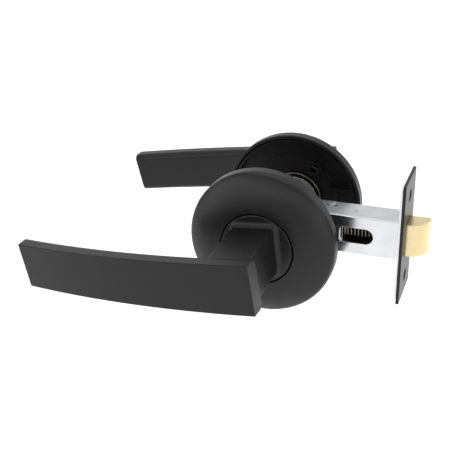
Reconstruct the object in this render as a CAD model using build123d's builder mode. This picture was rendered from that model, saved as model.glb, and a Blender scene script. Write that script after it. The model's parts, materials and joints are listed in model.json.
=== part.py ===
"""Lever-handle passage set: two sprung levers on round roses and a tubular spring latch.

The origin is on the spindle axis, in the middle of the door. +X runs along the latch to
the door's edge, +Y through the door from the outside to the inside, and +Z is up.
All sizes are in millimetres.
"""
import os
from math import cos, radians, sin

from build123d import *

# ---- driving dimensions ----
door_thickness = 43.0
backset = 60.0  # spindle axis to the outer face of the face plate
spindle_width = 8.0
lever_rest_angle = 5.7  # how far the resting levers hang below level
bolt_throw = 9.0

# roses: a depth is measured out from the door's face
rose_radius = 33.8
rose_wall = 1.5
rim_depth = 4.4
shoulder_radius = 32.0
shoulder_depth = 7.5
crown_depth = 12.1
dome_arc = 28.2
hub_hole_radius = 16.75
rim_edge_break = 0.3

# base plates
web_depth = 5.4
web_thickness = 1.1
plate_rim_radius = 31.6
plate_rim_wall = 1.1
boss_radius = 12.0
boss_start = 3.4
boss_end = 8.1
rib_spacing = 15.0
screw_circle_radius = 19.6
screw_angle = 60.0
screw_hole_radius = 2.1
screw_boss_radius = 3.5

# levers
hub_radius = 16.3
hub_back_depth = 9.5
hub_face_depth = 12.35
hub_round = 0.5
shank_radius = 9.0
shank_end_depth = 0.9
spindle_socket_depth = 24.0
neck_width = 18.4
neck_height = 21.8
neck_root_fillet = 2.6
neck_under_fillet = 2.0
lever_reach = 50.2
blade_thickness = 8.0
blade_bow_radius = 440.0
blade_bow_middle = -13.0
blade_butt_top = 10.5
blade_butt_bottom = 11.4
blade_butt_draft = 4.0  # degrees by which the butt faces outwards
blade_tip_top = -103.2
blade_tip_bottom = -100.9
blade_butt_height = 22.8
blade_tip_height = 21.0
blade_back_fillet = 3.0
edge_break = 0.4
grub_depth = 19.5
grub_radius = 2.5
grub_length = 6.0

# what locates the shank: groove and circlip, then the drive plate, then the boss
circlip_depth = 1.25
circlip_thickness = 0.8
circlip_bore = 8.3
drive_plate_depth = 2.25
drive_plate_thickness = 0.85
drive_plate_radius = 11.8
return_wire_radius = 0.28
return_coil_radius = 12.95
return_coil_depth = 3.7
return_coil_pitch = 0.6
return_coil_turns = 2.3
return_leg_angle = 320.0
return_leg_length = 3.2

# latch case, face plate and flange
case_height = 18.5
case_width = 14.5
case_wall = 1.2
case_back = -13.0
plate_thickness = 1.4
plate_height = 57.0
plate_width = 25.4
flange_thickness = 1.0
flange_height = 51.0
flange_width = 24.4
plate_screw_spacing = 39.4
plate_screw_radius = 2.25
countersink_depth = 0.9
slot_start = 30.6
slot_end = 46.0
slot_width = 7.5
slot_corner = 1.5

# latch bolt and what pulls it
bolt_height = 15.5
bolt_near = -5.6
bolt_far = 5.4
bolt_projection = 9.3
bolt_length = 23.3
bolt_nose_arc = 9.0
rod_radius = 1.9
seat_face = 31.8
seat_thickness = 1.8
bolt_coil_radius = 4.2
bolt_wire_radius = 0.35
bolt_coil_turns = 7.5
follower_radius = 6.6
follower_half_width = 2.5
arm_radius = 11.3
arm_width = 3.0
arm_rest_angle = 70.0
retractor_block = 16.2
retractor_block_length = 2.4
retractor_strip_height = 7.05
retractor_strip_thickness = 0.7
retractor_half_width = 5.3
retractor_hook_face = 0.8
retractor_hook_length = 2.0
retractor_hook_height = 10.4

play = 0.05  # between pieces that fit together
moving_gap = 0.3  # between pieces that pass each other

half_door = door_thickness / 2
case_front = backset - plate_thickness - flange_thickness
case_inner_height = case_height - 2 * case_wall
case_inner_width = case_width - 2 * case_wall
bolt_tip = backset + bolt_projection
bolt_back = bolt_tip - bolt_length
bolt_middle = (bolt_near + bolt_far) / 2
bolt_width = bolt_far - bolt_near

tilt = radians(lever_rest_angle)
lever_x = Vector(cos(tilt), 0, sin(tilt))
lever_z = Vector(-sin(tilt), 0, cos(tilt))

# Sketch plane for turned pieces on the outside: x is the radius, y the depth out from the door.
turned_section = Plane(origin=(0, -half_door, 0), x_dir=(1, 0, 0), z_dir=(0, 0, -1))
# The outside lever seen from above (x along it, y out from the door) and from the front.
lever_plan = Plane(origin=(0, -half_door, 0), x_dir=lever_x, z_dir=-lever_z)
lever_front = Plane(origin=(0, 0, 0), x_dir=lever_x, z_dir=(0, -1, 0))


def facing_plane(depth, along=Vector(1, 0, 0)):
    """Plane parallel to the door's outside face, at a depth out from it, facing away from it."""
    return Plane(origin=(0, -half_door - depth, 0), x_dir=along, z_dir=(0, -1, 0))


def across_plane(x):
    """Plane square to the latch at a distance x from the spindle: its x is Y, its y is Z."""
    return Plane(origin=(x, 0, 0), x_dir=(0, 1, 0), z_dir=(1, 0, 0))


def save(piece, name):
    piece.label = name
    export_step(piece, f"parts/{name}.step")


def save_pair(piece, name):
    """The piece on the door's outside, and its mirror image on the inside."""
    save(piece, f"outside_{name}")
    save(piece.mirror(Plane.XZ), f"inside_{name}")


# ---- roses ----
def make_rose_cover():
    """Shell with a straight rim, a rounded shoulder and a domed face round the hub hole."""
    inner = rose_radius - rose_wall
    mouth = hub_hole_radius + rim_edge_break
    with BuildPart() as cover:
        with BuildSketch(turned_section):
            with BuildLine():
                lip = Line((inner, 0), (rose_radius - rim_edge_break, 0))
                edge = Line(lip @ 1, (rose_radius, rim_edge_break))
                rim = Line(edge @ 1, (rose_radius, rim_depth))
                shoulder = TangentArc(rim @ 1, (shoulder_radius, shoulder_depth), tangent=rim % 1)
                dome = RadiusArc(shoulder @ 1, (mouth, crown_depth), -dome_arc)
                break_line = Line(dome @ 1, (hub_hole_radius, crown_depth - rim_edge_break))
                bore = Line(break_line @ 1, (hub_hole_radius, crown_depth - rose_wall))
                haunch_start = (shoulder_radius - 1.0, shoulder_depth - 1.5)
                ceiling = RadiusArc(bore @ 1, haunch_start, dome_arc - rose_wall)
                haunch = Line(ceiling @ 1, (inner, rim_depth))
                Line(haunch @ 1, lip @ 0)
            make_face()
        revolve(axis=Axis.Y)
    return cover.part


def make_base_plate():
    """Dished plate with a snap rim, a bored boss, and screw bosses and ribs on its back."""
    rim_inner = plate_rim_radius - plate_rim_wall
    web_top = web_depth + web_thickness
    seat = shank_radius + 0.98
    collar = boss_radius + 1.2
    with BuildPart() as plate:
        with BuildSketch(turned_section):
            with BuildLine():
                Polyline(
                    (seat, boss_start),
                    (boss_radius, boss_start),
                    (boss_radius, web_depth),
                    (rim_inner, web_depth),
                    (rim_inner, 0.3),
                    (plate_rim_radius, 0.3),
                    (plate_rim_radius, 2.2),
                    (plate_rim_radius + 0.6, 2.5),
                    (plate_rim_radius, 2.8),
                    (plate_rim_radius, 4.0),
                    (plate_rim_radius - 1.5, web_top),
                    (collar, web_top),
                    (collar, boss_end),
                    (seat, boss_end),
                    close=True,
                )
            make_face()
        revolve(axis=Axis.Y)
        with BuildSketch(facing_plane(web_depth - 0.8)):
            Circle(22.0)
            Circle(21.0, mode=Mode.SUBTRACT)
        extrude(amount=1.0)
        with BuildSketch(facing_plane(web_depth - 2.4)):
            with GridLocations(46.0, rib_spacing, 2, 2):
                Rectangle(12.0, 1.0)
        extrude(amount=2.6)
        with BuildSketch(facing_plane(web_depth - 2.6)):
            with PolarLocations(screw_circle_radius, 2, start_angle=screw_angle):
                Circle(screw_boss_radius)
        extrude(amount=2.8)
        with BuildSketch(facing_plane(0)):
            with PolarLocations(screw_circle_radius, 2, start_angle=screw_angle):
                Circle(screw_hole_radius)
        extrude(amount=web_top + 1.0, mode=Mode.SUBTRACT)
    return plate.part


def make_bush():
    """Flanged nylon bush that the lever's shank turns in."""
    bore = shank_radius + 0.06
    sleeve = shank_radius + 0.94
    flange = boss_radius + 0.8
    with BuildPart() as bush:
        with BuildSketch(turned_section):
            with BuildLine():
                Polyline(
                    (bore, boss_start),
                    (sleeve, boss_start),
                    (sleeve, boss_end + play),
                    (flange, boss_end + play),
                    (flange, hub_back_depth - moving_gap),
                    (bore, hub_back_depth - moving_gap),
                    close=True,
                )
            make_face()
        revolve(axis=Axis.Y)
    return bush.part


def make_return_spring():
    """Torsion spring round the boss, with a leg turned out at each end."""
    with BuildPart() as spring:
        with BuildLine():
            coil = Helix(
                pitch=return_coil_pitch,
                height=return_coil_pitch * return_coil_turns,
                radius=return_coil_radius,
                center=(0, -half_door - return_coil_depth, 0),
                direction=(0, -1, 0),
            )
        with BuildSketch(Plane(origin=coil @ 0, z_dir=coil % 0)):
            Circle(return_wire_radius)
        sweep(path=coil, is_frenet=True)
        for end in (coil @ 0, coil @ 1):
            outward = Vector(end.X, 0, end.Z).normalized()
            with BuildSketch(Plane(origin=end, z_dir=outward)):
                Circle(return_wire_radius - 0.01)
            extrude(amount=return_leg_length)
    return spring.part.rotate(Axis.Y, -return_leg_angle)


# ---- levers ----
def make_neck():
    """Square neck with a flared root that fits inside the round face of the hub."""
    with BuildPart() as neck:
        with BuildSketch(facing_plane(hub_face_depth, lever_x)):
            Circle(2 * hub_radius)
        extrude(amount=-1.0)
        with BuildSketch(facing_plane(hub_face_depth, lever_x)):
            Rectangle(neck_width, neck_height)
        extrude(amount=lever_reach - blade_thickness / 2 - hub_face_depth)
        side_edges = neck.edges().filter_by(Axis.Y).filter_by(GeomType.LINE).sort_by(Axis.Z)
        fillet(side_edges[:2], radius=neck_under_fillet)
        fillet(side_edges[2:], radius=edge_break)
        slab_face = neck.faces().filter_by(Axis.Y).sort_by(SortBy.AREA)[-2]
        fillet(slab_face.inner_wires()[0].edges(), radius=neck_root_fillet)
        with BuildSketch(facing_plane(hub_face_depth - 1.0, lever_x)):
            Circle(hub_radius - hub_round)
        extrude(amount=lever_reach, mode=Mode.INTERSECT)
    return neck.part


def make_blade():
    """Bowed blade: flat upright front, flat top and bottom, rounded back, taper to the tip."""
    bow_centre = lever_reach - blade_bow_radius
    butt_half = blade_butt_height / 2
    tip_half = blade_tip_height / 2
    uncut_butt = blade_butt_bottom + 2.0
    cut_down = lever_x * (blade_butt_bottom - blade_butt_top) - lever_z * blade_butt_height
    draft = radians(blade_butt_draft)
    cut_back = lever_x * sin(draft) + Vector(0, cos(draft), 0)
    cut_corner = lever_x * blade_butt_top + lever_z * butt_half - Vector(0, half_door + lever_reach, 0)
    butt_cut = Plane(origin=cut_corner, x_dir=cut_down, z_dir=cut_down.cross(cut_back))
    with BuildPart() as blade:
        with BuildSketch(lever_plan):
            with Locations((blade_bow_middle, bow_centre)):
                Circle(blade_bow_radius)
                Circle(blade_bow_radius - blade_thickness, mode=Mode.SUBTRACT)
            with Locations(((uncut_butt + blade_tip_top) / 2, lever_reach - 15.0)):
                Rectangle(uncut_butt - blade_tip_top + 10.0, 40.0, mode=Mode.INTERSECT)
        extrude(amount=butt_half + 1.0, both=True)
        with BuildSketch(lever_front):
            with BuildLine():
                Polyline(
                    (uncut_butt, butt_half),
                    (uncut_butt, -butt_half),
                    (blade_tip_bottom, -tip_half),
                    (blade_tip_top, tip_half),
                    close=True,
                )
            make_face()
        extrude(amount=half_door + lever_reach + 10.0, both=True, mode=Mode.INTERSECT)
        split(bisect_by=butt_cut, keep=Keep.BOTTOM)
        long_edges = blade.edges().filter_by(lambda edge: edge.length > 100)
        back_to_front = long_edges.sort_by(lambda edge: abs(edge.center().Y))
        fillet(back_to_front[:2], radius=blade_back_fillet)
        chamfer(back_to_front[2:], length=edge_break)
        fillet(blade.faces().sort_by(Axis.X)[0].edges(), radius=edge_break)
        fillet(blade.faces().sort_by(Axis.X)[-1].edges(), radius=edge_break)
    return blade.part


def make_lever():
    """Cast lever: blade, neck, round hub and a shank with the spindle's square socket."""
    groove_end = circlip_depth + circlip_thickness + play
    grub_seat = Vector(0, -half_door - grub_depth, 0) - lever_z * neck_height
    with BuildPart() as lever:
        add(make_blade())
        add(make_neck())
        with BuildSketch(turned_section):
            with BuildLine():
                shank = Polyline(
                    (0, shank_end_depth),
                    (shank_radius, shank_end_depth),
                    (shank_radius, circlip_depth - play),
                    (circlip_bore - play, circlip_depth - play),
                    (circlip_bore - play, groove_end),
                    (shank_radius, groove_end),
                    (shank_radius, hub_back_depth),
                    (hub_radius, hub_back_depth),
                    (hub_radius, hub_face_depth - hub_round),
                )
                edge = TangentArc(shank @ 1, (hub_radius - hub_round, hub_face_depth), tangent=(0, 1))
                Polyline(edge @ 1, (0, hub_face_depth), shank @ 0)
            make_face()
        revolve(axis=Axis.Y)
        with BuildSketch(facing_plane(shank_end_depth, lever_x)):
            Rectangle(spindle_width + 2 * play, spindle_width + 2 * play)
        extrude(amount=spindle_socket_depth - shank_end_depth, mode=Mode.SUBTRACT)
        with BuildSketch(Plane(origin=grub_seat, z_dir=lever_z)):
            Circle(grub_radius + play)
        extrude(amount=neck_height, mode=Mode.SUBTRACT)
    return lever.part


def make_drive_plate():
    """Washer fixed on the shank, with a lug that winds the return spring."""
    with BuildPart() as plate:
        with BuildSketch(facing_plane(drive_plate_depth, lever_x)):
            Circle(drive_plate_radius)
            with Locations((-drive_plate_radius, 0)):
                Rectangle(5.6, 4.0)
            Circle(shank_radius + play, mode=Mode.SUBTRACT)
        extrude(amount=drive_plate_thickness)
    return plate.part


def make_circlip():
    """Split ring in the shank's groove."""
    with BuildPart() as circlip:
        with BuildSketch(facing_plane(circlip_depth, lever_x)):
            Circle(circlip_bore + 2.2)
            with Locations((0, 0.7)):
                Circle(circlip_bore, mode=Mode.SUBTRACT)
            Circle(circlip_bore, mode=Mode.SUBTRACT)
            with Locations((0, circlip_bore + 1.0)):
                Rectangle(5.0, 5.0, mode=Mode.SUBTRACT)
        extrude(amount=circlip_thickness)
    return circlip.part


def make_grub_screw():
    """Socket set screw that clamps a lever on the spindle from below."""
    tip_height = spindle_width / 2 + 0.02
    tip = Vector(0, -half_door - grub_depth, 0) - lever_z * tip_height
    with BuildPart() as screw:
        with BuildSketch(Plane(origin=tip, z_dir=-lever_z)):
            Circle(grub_radius)
        extrude(amount=grub_length)
        chamfer(screw.edges().filter_by(GeomType.CIRCLE), length=0.3)
        with BuildSketch(Plane(origin=tip - lever_z * grub_length, z_dir=lever_z)):
            RegularPolygon(radius=1.25, side_count=6, major_radius=False)
        extrude(amount=3.0, mode=Mode.SUBTRACT)
    return screw.part


def make_spindle():
    """Square bar that joins the two levers through the latch."""
    half_length = half_door + spindle_socket_depth - 1.0
    with BuildPart() as spindle:
        with BuildSketch(lever_front):
            Rectangle(spindle_width, spindle_width)
        extrude(amount=half_length, both=True)
        chamfer(spindle.faces().filter_by(Axis.Y).edges(), length=0.5)
    return spindle.part


# ---- latch ----
def make_latch_case():
    """Folded box with a slot, a clinched seam, bush holes and a window for the follower."""
    rear_wall = case_back + case_wall
    window = (retractor_hook_face - retractor_hook_length - bolt_throw - 0.5, 9.5)
    slot_round = slot_end - slot_width / 2
    with BuildPart() as case:
        with BuildSketch(across_plane(case_back)):
            RectangleRounded(case_width, case_height, 0.6)
        extrude(amount=case_front - case_back)
        with BuildSketch(across_plane(rear_wall)):
            Rectangle(case_inner_width, case_inner_height)
        extrude(amount=case_front - rear_wall, mode=Mode.SUBTRACT)
        with BuildSketch(Plane.XZ):
            Circle(follower_radius + 1.6)
        extrude(amount=case_width, both=True, mode=Mode.SUBTRACT)
        with BuildSketch(Plane.XZ) as slot:
            with Locations((slot_round, 0)):
                Circle(slot_width / 2)
            with Locations(((slot_start + slot_round) / 2, 0)):
                Rectangle(slot_round - slot_start, slot_width)
            fillet(slot.vertices().sort_by(Axis.X)[:2], radius=slot_corner)
        extrude(amount=case_width, mode=Mode.SUBTRACT)
        with BuildSketch(Plane.XY):
            with Locations(((window[0] + window[1]) / 2, 0)):
                Rectangle(window[1] - window[0], 2 * retractor_half_width + 0.8)
            for x in (22.6, 26.4):
                with Locations((x, 2.8)):
                    Rectangle(1.7, 1.3)
            with Locations((36.7, -0.5)):
                Circle(0.55)
        extrude(amount=case_height, mode=Mode.SUBTRACT)
        with BuildSketch(Plane.XY.offset(case_height / 2 - 0.2)):
            with Locations((24.5, 4.6)):
                Rectangle(2.0, 3.4)
        extrude(amount=0.6, taper=20)
    return case.part


def make_fixing_plate(back, thickness, height, width):
    """Plate on the door's edge, with the bolt's opening and two screw holes."""
    opening_height = bolt_height + 2 * moving_gap
    opening_width = bolt_width + 2 * moving_gap
    with BuildPart() as plate:
        with BuildSketch(across_plane(back)):
            Rectangle(width, height)
            with Locations((bolt_middle, 0)):
                Rectangle(opening_width, opening_height, mode=Mode.SUBTRACT)
            with GridLocations(0, plate_screw_spacing, 1, 2):
                Circle(plate_screw_radius, mode=Mode.SUBTRACT)
        extrude(amount=thickness)
    return plate.part


def make_face_plate():
    """Fixing plate with its screw holes countersunk."""
    with BuildPart() as plate:
        add(make_fixing_plate(backset - plate_thickness, plate_thickness, plate_height, plate_width))
        rims = plate.faces().sort_by(Axis.X)[-1].edges().filter_by(GeomType.CIRCLE)
        chamfer(rims, length=countersink_depth)
    return plate.part


def make_bolt():
    """Brass latch bolt: flat far side, and a rounded near side that meets the strike."""
    with BuildPart() as bolt:
        with BuildSketch(Plane.XY.offset(-bolt_height / 2)):
            with BuildLine():
                back = Line((bolt_back, bolt_far), (bolt_back, bolt_near))
                near = Line(back @ 1, (bolt_tip - bolt_nose_arc + 0.2, bolt_near))
                nose = TangentArc(near @ 1, (bolt_tip, bolt_far - 1.0), tangent=near % 1)
                tip = Line(nose @ 1, (bolt_tip, bolt_far))
                Line(tip @ 1, back @ 0)
            make_face()
        extrude(amount=bolt_height)
        chamfer(bolt.faces().filter_by(Axis.Z).edges(), length=0.25)
    return bolt.part


def make_pull_rod():
    """Rod from the back of the bolt through the spring and its seat to the retractor."""
    rod_start = retractor_block + retractor_block_length
    with BuildPart() as rod:
        with BuildSketch(across_plane(rod_start)):
            Circle(rod_radius)
        extrude(amount=bolt_back - rod_start)
    return rod.part


def make_retractor():
    """Yoke over the follower: a block on the rod, thin strips and a hook for the arm."""
    strip_end = retractor_hook_face - retractor_hook_length
    strip_length = retractor_block - strip_end
    strip_middle = (retractor_block + strip_end) / 2
    arm_slot = 2 * (follower_half_width + 0.4)
    block_height = 2 * (retractor_strip_height + retractor_strip_thickness)
    hook_rise = retractor_hook_height - retractor_strip_height
    with BuildPart() as yoke:
        with BuildSketch(across_plane(retractor_block)):
            Rectangle(2 * retractor_half_width, block_height)
        extrude(amount=retractor_block_length)
        for height in (retractor_strip_height, -retractor_strip_height - retractor_strip_thickness):
            with BuildSketch(Plane.XY.offset(height)):
                with Locations((strip_middle, 0)):
                    Rectangle(strip_length, 2 * retractor_half_width)
                with Locations((strip_middle + retractor_hook_length, 0)):
                    Rectangle(strip_length, arm_slot, mode=Mode.SUBTRACT)
            extrude(amount=retractor_strip_thickness)
        with BuildSketch(Plane.XY.offset(retractor_strip_height)):
            with Locations((retractor_hook_face - retractor_hook_length / 2, 0)):
                Rectangle(retractor_hook_length, 2 * retractor_half_width)
        extrude(amount=hook_rise)
    return yoke.part


def make_spring_seat():
    """Plate across the case that the bolt's spring pushes from."""
    with BuildPart() as seat:
        with BuildSketch(across_plane(seat_face - seat_thickness)):
            Rectangle(case_inner_width, case_inner_height)
            Circle(rod_radius + moving_gap, mode=Mode.SUBTRACT)
        extrude(amount=seat_thickness)
    return seat.part


def make_bolt_spring():
    """Compression spring between the seat and the back of the bolt."""
    coil_start = seat_face + bolt_wire_radius + play
    coil_length = bolt_back - bolt_wire_radius - play - coil_start
    with BuildPart() as spring:
        with BuildLine():
            coil = Helix(
                pitch=coil_length / bolt_coil_turns,
                height=coil_length,
                radius=bolt_coil_radius,
                center=(coil_start, 0, 0),
                direction=(1, 0, 0),
            )
        with BuildSketch(Plane(origin=coil @ 0, z_dir=coil % 0)):
            Circle(bolt_wire_radius)
        sweep(path=coil, is_frenet=True)
    return spring.part


def make_follower():
    """Round follower with a square hole, and an arm that draws the retractor back."""
    arm_angle = radians(arm_rest_angle)
    arm_middle = arm_radius / 2
    with BuildPart() as follower:
        with BuildSketch(Plane.XZ):
            Circle(follower_radius)
        extrude(amount=case_width / 2, both=True)
        with BuildSketch(Plane.XZ):
            with Locations(Location((arm_middle * cos(arm_angle), arm_middle * sin(arm_angle)))):
                Rectangle(arm_radius, arm_width, rotation=arm_rest_angle)
        extrude(amount=follower_half_width, both=True)
        with BuildSketch(lever_front):
            Rectangle(spindle_width + 2 * play, spindle_width + 2 * play)
        extrude(amount=case_width, both=True, mode=Mode.SUBTRACT)
    return follower.part


def make_follower_bush():
    """Flanged bush that carries one end of the follower in the case's side."""
    inner_face = case_inner_width / 2
    flange_face = case_width / 2 + 0.02
    outer_face = case_width / 2 + 0.6
    with BuildPart() as bush:
        with BuildSketch(Plane.XZ.offset(inner_face)):
            Circle(follower_radius + 1.55)
        extrude(amount=outer_face - inner_face)
        with BuildSketch(Plane.XZ.offset(flange_face)):
            Circle(follower_radius + 2.4)
        extrude(amount=outer_face - flange_face)
        with BuildSketch(Plane.XZ):
            Circle(follower_radius + 0.06)
        extrude(amount=case_width, mode=Mode.SUBTRACT)
    return bush.part


def main():
    os.makedirs("parts", exist_ok=True)
    save_pair(make_rose_cover(), "rose_cover")
    save_pair(make_base_plate(), "base_plate")
    save_pair(make_bush(), "bush")
    save_pair(make_return_spring(), "return_spring")
    save_pair(make_lever(), "lever")
    save_pair(make_drive_plate(), "drive_plate")
    save_pair(make_circlip(), "circlip")
    save_pair(make_grub_screw(), "grub_screw")
    save_pair(make_follower_bush(), "follower_bush")
    save(make_spindle(), "spindle")
    save(make_latch_case(), "latch_case")
    flange = make_fixing_plate(case_front, flange_thickness, flange_height, flange_width)
    save(flange, "latch_flange")
    save(make_face_plate(), "face_plate")
    save(make_bolt(), "latch_bolt")
    save(make_pull_rod(), "pull_rod")
    save(make_retractor(), "retractor")
    save(make_spring_seat(), "spring_seat")
    save(make_bolt_spring(), "bolt_spring")
    save(make_follower(), "follower")


main()
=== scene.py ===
"""Looks for the lever-handle passage set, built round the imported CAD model."""
import json
import math

import bpy
from mathutils import Matrix, Vector


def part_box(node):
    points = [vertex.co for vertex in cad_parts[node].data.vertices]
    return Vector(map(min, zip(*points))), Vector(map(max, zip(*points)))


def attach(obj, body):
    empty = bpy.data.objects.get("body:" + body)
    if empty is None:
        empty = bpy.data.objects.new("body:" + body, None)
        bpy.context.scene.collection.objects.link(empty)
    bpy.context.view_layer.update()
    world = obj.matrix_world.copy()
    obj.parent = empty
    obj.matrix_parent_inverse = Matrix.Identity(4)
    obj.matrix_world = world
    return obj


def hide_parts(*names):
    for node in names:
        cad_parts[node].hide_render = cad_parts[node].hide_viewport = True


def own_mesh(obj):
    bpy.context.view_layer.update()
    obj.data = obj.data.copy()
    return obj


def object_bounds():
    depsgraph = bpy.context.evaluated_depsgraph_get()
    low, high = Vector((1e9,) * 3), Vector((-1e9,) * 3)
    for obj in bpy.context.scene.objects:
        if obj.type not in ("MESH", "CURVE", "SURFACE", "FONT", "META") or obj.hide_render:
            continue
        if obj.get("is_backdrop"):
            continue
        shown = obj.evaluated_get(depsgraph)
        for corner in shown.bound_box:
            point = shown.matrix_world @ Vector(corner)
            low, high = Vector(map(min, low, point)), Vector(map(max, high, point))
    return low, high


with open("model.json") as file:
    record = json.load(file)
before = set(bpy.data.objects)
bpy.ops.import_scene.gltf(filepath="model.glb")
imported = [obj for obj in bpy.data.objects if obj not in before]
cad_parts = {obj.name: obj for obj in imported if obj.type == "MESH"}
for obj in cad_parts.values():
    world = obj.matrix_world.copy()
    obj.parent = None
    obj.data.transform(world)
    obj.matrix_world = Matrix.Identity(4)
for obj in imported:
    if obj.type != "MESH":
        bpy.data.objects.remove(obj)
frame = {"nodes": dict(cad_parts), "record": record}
cad_low, cad_high = (list(corner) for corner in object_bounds())
scene = bpy.context.scene
scene.view_settings.view_transform = "Standard"


# ---------------------------------------------------------------- materials
# the Mix node's colour sockets, which share their names with its number sockets
MIX_AMOUNT = 0
MIX_UNDER = 6
MIX_OVER = 7
MIX_COLOUR = 2


class Shader:
    """A node tree with one Principled shader, and short calls for the nodes that feed it."""

    def __init__(self, name, settings):
        self.material = bpy.data.materials.new(name)
        self.material.use_nodes = True
        self.tree = self.material.node_tree
        self.surface = self.tree.nodes["Principled BSDF"]
        for socket, value in settings.items():
            self.surface.inputs[socket].default_value = value
        coordinates = self.add("ShaderNodeTexCoord")
        self.place = coordinates.outputs["Object"]
        self.facing = coordinates.outputs["Normal"]

    def add(self, kind, inputs=None, **settings):
        """A new node. An input is linked where its value is another node's output."""
        node = self.tree.nodes.new(kind)
        for key, value in settings.items():
            setattr(node, key, value)
        for key, value in (inputs or {}).items():
            if isinstance(value, bpy.types.NodeSocket):
                self.tree.links.new(value, node.inputs[key])
            else:
                node.inputs[key].default_value = value
        return node

    def noise(self, scale, detail=2.0, stretch=(1.0, 1.0, 1.0)):
        mapping = self.add("ShaderNodeMapping", {"Vector": self.place, "Scale": stretch})
        node = self.add("ShaderNodeTexNoise", {
            "Vector": mapping.outputs["Vector"], "Scale": scale, "Detail": detail})
        return node.outputs["Fac"]

    def spread(self, value, low, high, source=(0.3, 0.7)):
        """The value's source range, carried over to low and high."""
        node = self.add("ShaderNodeMapRange", {
            "Value": value, "From Min": source[0], "From Max": source[1],
            "To Min": low, "To Max": high})
        return node.outputs["Result"]

    def tint(self, amount, under, over):
        """The colour under where amount is nought, and the one over where it is one."""
        node = self.add("ShaderNodeMix", {MIX_AMOUNT: amount, MIX_UNDER: under, MIX_OVER: over},
                        data_type="RGBA")
        return node.outputs[MIX_COLOUR]

    def math(self, operation, first, second=0.0):
        return self.add("ShaderNodeMath", {0: first, 1: second}, operation=operation).outputs[0]

    def size_along(self, vector, axis):
        parts = self.add("ShaderNodeSeparateXYZ", {"Vector": vector})
        return self.math("ABSOLUTE", parts.outputs[axis])

    def inside(self, half_width, half_height):
        """One within a box round the X axis, and nought outside it."""
        across = self.math("LESS_THAN", self.size_along(self.place, "Y"), half_width)
        upright = self.math("LESS_THAN", self.size_along(self.place, "Z"), half_height)
        return self.math("MULTIPLY", across, upright)

    def feed(self, socket, output):
        self.tree.links.new(output, self.surface.inputs[socket])

    def bumps(self, *layers, round_edges=None):
        """Layers are (height output, distance in metres, strength), over edges that look rounded."""
        normal = None
        if round_edges:
            bevel = self.add("ShaderNodeBevel", {"Radius": round_edges}, samples=6)
            normal = bevel.outputs["Normal"]
        for height, distance, strength in layers:
            inputs = {"Height": height, "Distance": distance, "Strength": strength}
            if normal:
                inputs["Normal"] = normal
            normal = self.add("ShaderNodeBump", inputs).outputs["Normal"]
        self.feed("Normal", normal)


def colour(red, green, blue):
    return red, green, blue, 1.0


def black_coat():
    """Satin black coating on cast zinc: a faint orange peel under a fine matte grain."""
    s = Shader("black_coat", {"Metallic": 0.0, "IOR": 1.5, "Specular IOR Level": 0.4})
    cloud = s.noise(90.0, 3.0)
    grain = s.noise(5200.0)
    peel = s.noise(900.0)
    s.feed("Base Color", s.tint(s.spread(cloud, 0, 1), colour(0.0038, 0.0038, 0.0041),
                                colour(0.0056, 0.0055, 0.0055)))
    s.feed("Roughness", s.spread(grain, 0.35, 0.41))
    s.bumps((peel, 0.00002, 0.2), (grain, 0.000004, 0.2), round_edges=0.0002)
    return s.material


def black_nylon():
    """Moulded black nylon with a spark-eroded texture."""
    s = Shader("black_nylon", {"Metallic": 0.0, "IOR": 1.5, "Specular IOR Level": 0.3})
    cloud = s.noise(160.0, 3.0)
    texture = s.noise(3200.0, 3.0)
    s.feed("Base Color", s.tint(cloud, colour(0.0022, 0.0022, 0.0024), colour(0.0036, 0.0036, 0.0038)))
    s.feed("Roughness", s.spread(texture, 0.28, 0.38))
    s.bumps((texture, 0.00002, 0.3), round_edges=0.0002)
    return s.material


def zinc_plate(name, case=False):
    """Bright zinc plate over rolled sheet: fine rolling lines along X and a cloudy shine.

    The case's own finish adds painted shade, a dark colour on the walls inside the tube, and a coarser
    brushing on its top and underside than on its sides.
    """
    s = Shader(name, {"Metallic": 1.0})
    cloud = s.noise(140.0, 3.0)
    lines = s.noise(900.0, 3.0, stretch=(0.05, 1.0, 1.0))
    shine = s.tint(s.spread(cloud, 0, 1), colour(0.72, 0.73, 0.75), colour(0.80, 0.815, 0.835))
    rough = s.spread(lines, 0.14, 0.24)
    if case:
        # the box ends within the thickness of the walls, so it takes in their inner faces only
        # painted shade: the walls inside the tube are coloured dark, standing in for the shade that
        # falls there
        painted_shade_inside = s.inside(half_width=0.0063, half_height=0.0083)
        shine = s.tint(painted_shade_inside, shine, colour(0.13, 0.11, 0.085))
        brushing = s.spread(s.size_along(s.facing, "Z"), 0.0, 0.22, source=(0.5, 0.9))
        rough = s.math("ADD", rough, brushing)
    s.feed("Base Color", shine)
    s.feed("Roughness", rough)
    s.bumps((lines, 0.000008, 0.3), round_edges=0.0002)
    return s.material


def spring_wire():
    """Drawn spring wire under a film of dark oil."""
    s = Shader("spring_wire", {"Metallic": 1.0})
    draw = s.noise(2600.0)
    s.feed("Base Color", s.tint(draw, colour(0.15, 0.13, 0.1), colour(0.28, 0.25, 0.2)))
    s.feed("Roughness", s.spread(draw, 0.2, 0.34))
    s.bumps((draw, 0.00001, 0.3))
    return s.material


def satin_brass():
    """Brass with fine upright polishing lines."""
    s = Shader("satin_brass", {"Metallic": 1.0})
    cloud = s.noise(220.0, 3.0)
    lines = s.noise(1500.0, 3.0, stretch=(1.0, 1.0, 0.04))
    s.feed("Base Color", s.tint(s.spread(cloud, 0, 1), colour(0.80, 0.65, 0.35),
                                colour(0.86, 0.72, 0.42)))
    s.feed("Roughness", s.spread(lines, 0.2, 0.3))
    s.bumps((lines, 0.000008, 0.3), round_edges=0.0002)
    return s.material


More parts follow.
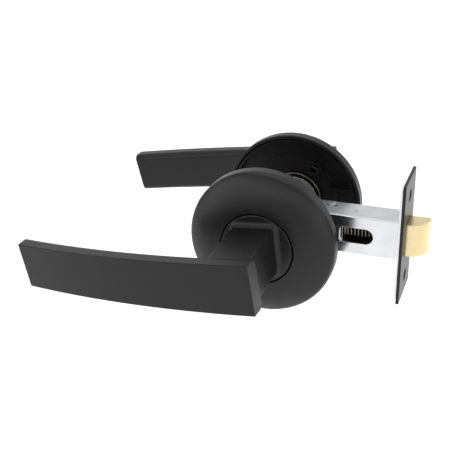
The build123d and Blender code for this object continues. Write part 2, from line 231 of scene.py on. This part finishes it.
def natural_nylon():
    """Unfilled nylon with a cloudy surface."""
    s = Shader("natural_nylon", {"Metallic": 0.0, "IOR": 1.53})
    cloud = s.noise(260.0, 3.0)
    s.feed("Base Color", s.tint(cloud, colour(0.72, 0.7, 0.64), colour(0.82, 0.8, 0.75)))
    s.feed("Roughness", s.spread(cloud, 0.4, 0.5))
    s.bumps((cloud, 0.00002, 0.3), round_edges=0.00015)
    return s.material


def black_oxide():
    """Blackened steel of the grub screws."""
    s = Shader("black_oxide", {"Metallic": 0.6})
    cloud = s.noise(1400.0, 3.0)
    s.feed("Base Color", s.tint(cloud, colour(0.025, 0.025, 0.028), colour(0.06, 0.06, 0.062)))
    s.feed("Roughness", s.spread(cloud, 0.3, 0.45))
    s.bumps((cloud, 0.00001, 0.3), round_edges=0.00015)
    return s.material


finishes = {
    "black_metal": black_coat(),
    "black_plate": black_nylon(),
    "zinc_steel": zinc_plate("zinc_plate"),
    "spring_steel": spring_wire(),
    "nylon": natural_nylon(),
    "brass": satin_brass(),
    "screw_steel": black_oxide(),
}
case_finish = zinc_plate("zinc_case", case=True)
# these nodes take the case finish, with its painted shade on the walls inside the tube
painted_shade_nodes = ("latch_case", "retractor", "pull_rod")
slot_of = {part["node"]: part["material_slot"] for part in frame["record"]["subparts"]}
for name, node in frame["nodes"].items():
    finish = case_finish if name in painted_shade_nodes else finishes[slot_of[name]]
    for slot in node.material_slots:
        slot.link = "OBJECT"
        slot.material = finish


# ---------------------------------------------------------------- bolt spring
def coil_mesh(name, start, end, radius, wire, turns, ring=12, per_turn=40):
    """Compression spring along X: a closed turn at each end and an even pitch between.

    The wire is given by its radius, and has ring points round it.
    """
    closed_turns = 1.0
    closed_rise = 2.1 * wire * closed_turns  # just over the wire's diameter, so turns don't touch
    first_angle = 0.6
    open_turns = turns - 2 * closed_turns
    open_rise = (end - start) - 2 * wire - 2 * closed_rise
    steps = int(turns * per_turn)
    points = []
    for i in range(steps + 1):
        t = turns * i / steps
        if t < closed_turns:
            x = closed_rise * t / closed_turns
        elif t > turns - closed_turns:
            x = closed_rise + open_rise + closed_rise * (t - turns + closed_turns) / closed_turns
        else:
            x = closed_rise + open_rise * (t - closed_turns) / open_turns
        angle = math.tau * t + first_angle
        place = (start + wire + x, radius * math.cos(angle), radius * math.sin(angle))
        points.append(Vector(place))
    verts, faces = [], []
    for i, p in enumerate(points):
        ahead = points[min(i + 1, steps)] - points[max(i - 1, 0)]
        along = ahead.normalized()
        out = Vector((0, p.y, p.z)).normalized()
        side = along.cross(out).normalized()
        for k in range(ring):
            a = math.tau * k / ring
            verts.append(p + wire * (out * math.cos(a) + side * math.sin(a)))
    for i in range(steps):
        for k in range(ring):
            a, b = i * ring + k, i * ring + (k + 1) % ring
            faces.append((a, b, b + ring, a + ring))
    faces.append(tuple(reversed(range(ring))))
    faces.append(tuple(range(steps * ring, (steps + 1) * ring)))
    mesh = bpy.data.meshes.new(name)
    mesh.from_pydata(verts, [], faces)
    mesh.polygons.foreach_set("use_smooth", [len(f) == 4 for f in faces])
    mesh.validate()
    obj = bpy.data.objects.new(name, mesh)
    scene.collection.objects.link(obj)
    return obj


seat_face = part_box("spring_seat")[1][0]
bolt_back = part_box("latch_bolt")[0][0]
bolt_coil = coil_mesh("bolt_coil", seat_face, bolt_back, radius=0.0042, wire=0.00045, turns=9.0)
bolt_coil.data.materials.append(finishes["spring_steel"])
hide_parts("bolt_spring")
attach(bolt_coil, "latch_and_roses")
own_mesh(bolt_coil)


# ---------------------------------------------------------------- studio
def grid_plane(name, size, height, cells=8):
    """Level square of so many cells a side, centred under the origin."""
    verts = [(size * (i / cells - 0.5), size * (j / cells - 0.5), height)
             for j in range(cells + 1) for i in range(cells + 1)]
    row = cells + 1
    faces = [(j * row + i, j * row + i + 1, (j + 1) * row + i + 1, (j + 1) * row + i)
             for j in range(cells) for i in range(cells)]
    mesh = bpy.data.meshes.new(name)
    mesh.from_pydata(verts, [], faces)
    obj = bpy.data.objects.new(name, mesh)
    scene.collection.objects.link(obj)
    return obj


def pale_floor():
    """White paint with a faint unevenness."""
    s = Shader("pale_floor", {"Metallic": 0.0, "Roughness": 0.9})
    cloud = s.noise(3.0)
    s.feed("Base Color", s.tint(cloud, colour(0.86, 0.86, 0.86), colour(0.88, 0.88, 0.88)))
    return s.material


floor_size = 12.0
floor_drop = 0.16  # from the lowest point of the object, which hangs in mid-air
floor = grid_plane("floor", floor_size, cad_low[2] - floor_drop)
floor.data.materials.append(pale_floor())
floor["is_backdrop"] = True


def area_light(name, place, rotation, width, height, level, seen_in_gloss=True):
    """Panel that shines as brightly as level times white and never shows itself to a camera."""
    data = bpy.data.lights.new(name, "AREA")
    data.shape = "RECTANGLE"
    data.size = width
    data.size_y = height
    data.energy = level * math.pi * width * height
    obj = bpy.data.objects.new(name, data)
    scene.collection.objects.link(obj)
    obj.matrix_world = Matrix.Translation(place) @ rotation
    obj.visible_camera = False
    obj.visible_glossy = seen_in_gloss


def softbox(name, azimuth, elevation, wide, tall, level, distance=1.2):
    """Panel facing the object, given by its direction and by the angles that it covers."""
    turn, lift = math.radians(azimuth), math.radians(elevation)
    out = Vector((math.cos(lift) * math.cos(turn), math.cos(lift) * math.sin(turn), math.sin(lift)))
    width = 2 * distance * math.tan(math.radians(wide / 2))
    height = 2 * distance * math.tan(math.radians(tall / 2))
    rotation = (-out).to_track_quat("-Z", "Y").to_matrix().to_4x4()
    area_light(name, out * distance, rotation, width, height, level)


# azimuth from +X towards +Y, elevation, width and height in degrees, then the level
softbox("left_low_box", 212, 8, 30, 34, 1.3)
softbox("left_high_box", 212, 34, 36, 20, 1.2)
softbox("left_front_box", 242, 20, 28, 30, 0.8)
softbox("front_box", -88, 26, 46, 20, 1.1)
softbox("front_right_box", -40, 10, 40, 34, 1.1)
softbox("right_low_box", 22, 24, 75, 30, 0.9)
softbox("right_high_box", 25, 52, 60, 24, 0.3)
softbox("top_box", 90, 84, 48, 48, 1.0)
softbox("back_low_box", 130, 5, 66, 20, 0.5, distance=1.5)
softbox("back_high_box", 112, 27, 44, 20, 0.4, distance=1.5)

# overhead panels that whiten the floor behind the object
facing_down = Matrix.Identity(4)
area_light("far_floor_fill", (-0.3, 1.7, 1.5), facing_down, 3.4, 1.8, 2.0, seen_in_gloss=False)
area_light("near_floor_fill", (0.0, 0.85, 0.8), facing_down, 1.6, 0.8, 1.2, seen_in_gloss=False)

world = bpy.data.worlds.new("studio")
scene.world = world
world.use_nodes = True
background = world.node_tree.nodes["Background"]
background.inputs["Color"].default_value = colour(1.0, 1.0, 1.0)
background.inputs["Strength"].default_value = 0.5

# ---------------------------------------------------------------- camera
camera_place = Vector((0.1067, -0.3345, 0.1647))
right = Vector((0.9324, 0.3602, -0.0283))
up = Vector((-0.1316, 0.4114, 0.9019))
forward = Vector((-0.3365, 0.8372, -0.4310))
camera_data = bpy.data.cameras.new("camera")
camera_data.lens = 65.58
camera_data.sensor_width = 36.0
camera_data.clip_start = 0.01
camera = bpy.data.objects.new("camera", camera_data)
scene.collection.objects.link(camera)
turn = Matrix((right, up, -forward)).transposed().to_quaternion().to_matrix().to_4x4()
camera.matrix_world = Matrix.Translation(camera_place) @ turn
scene.camera = camera
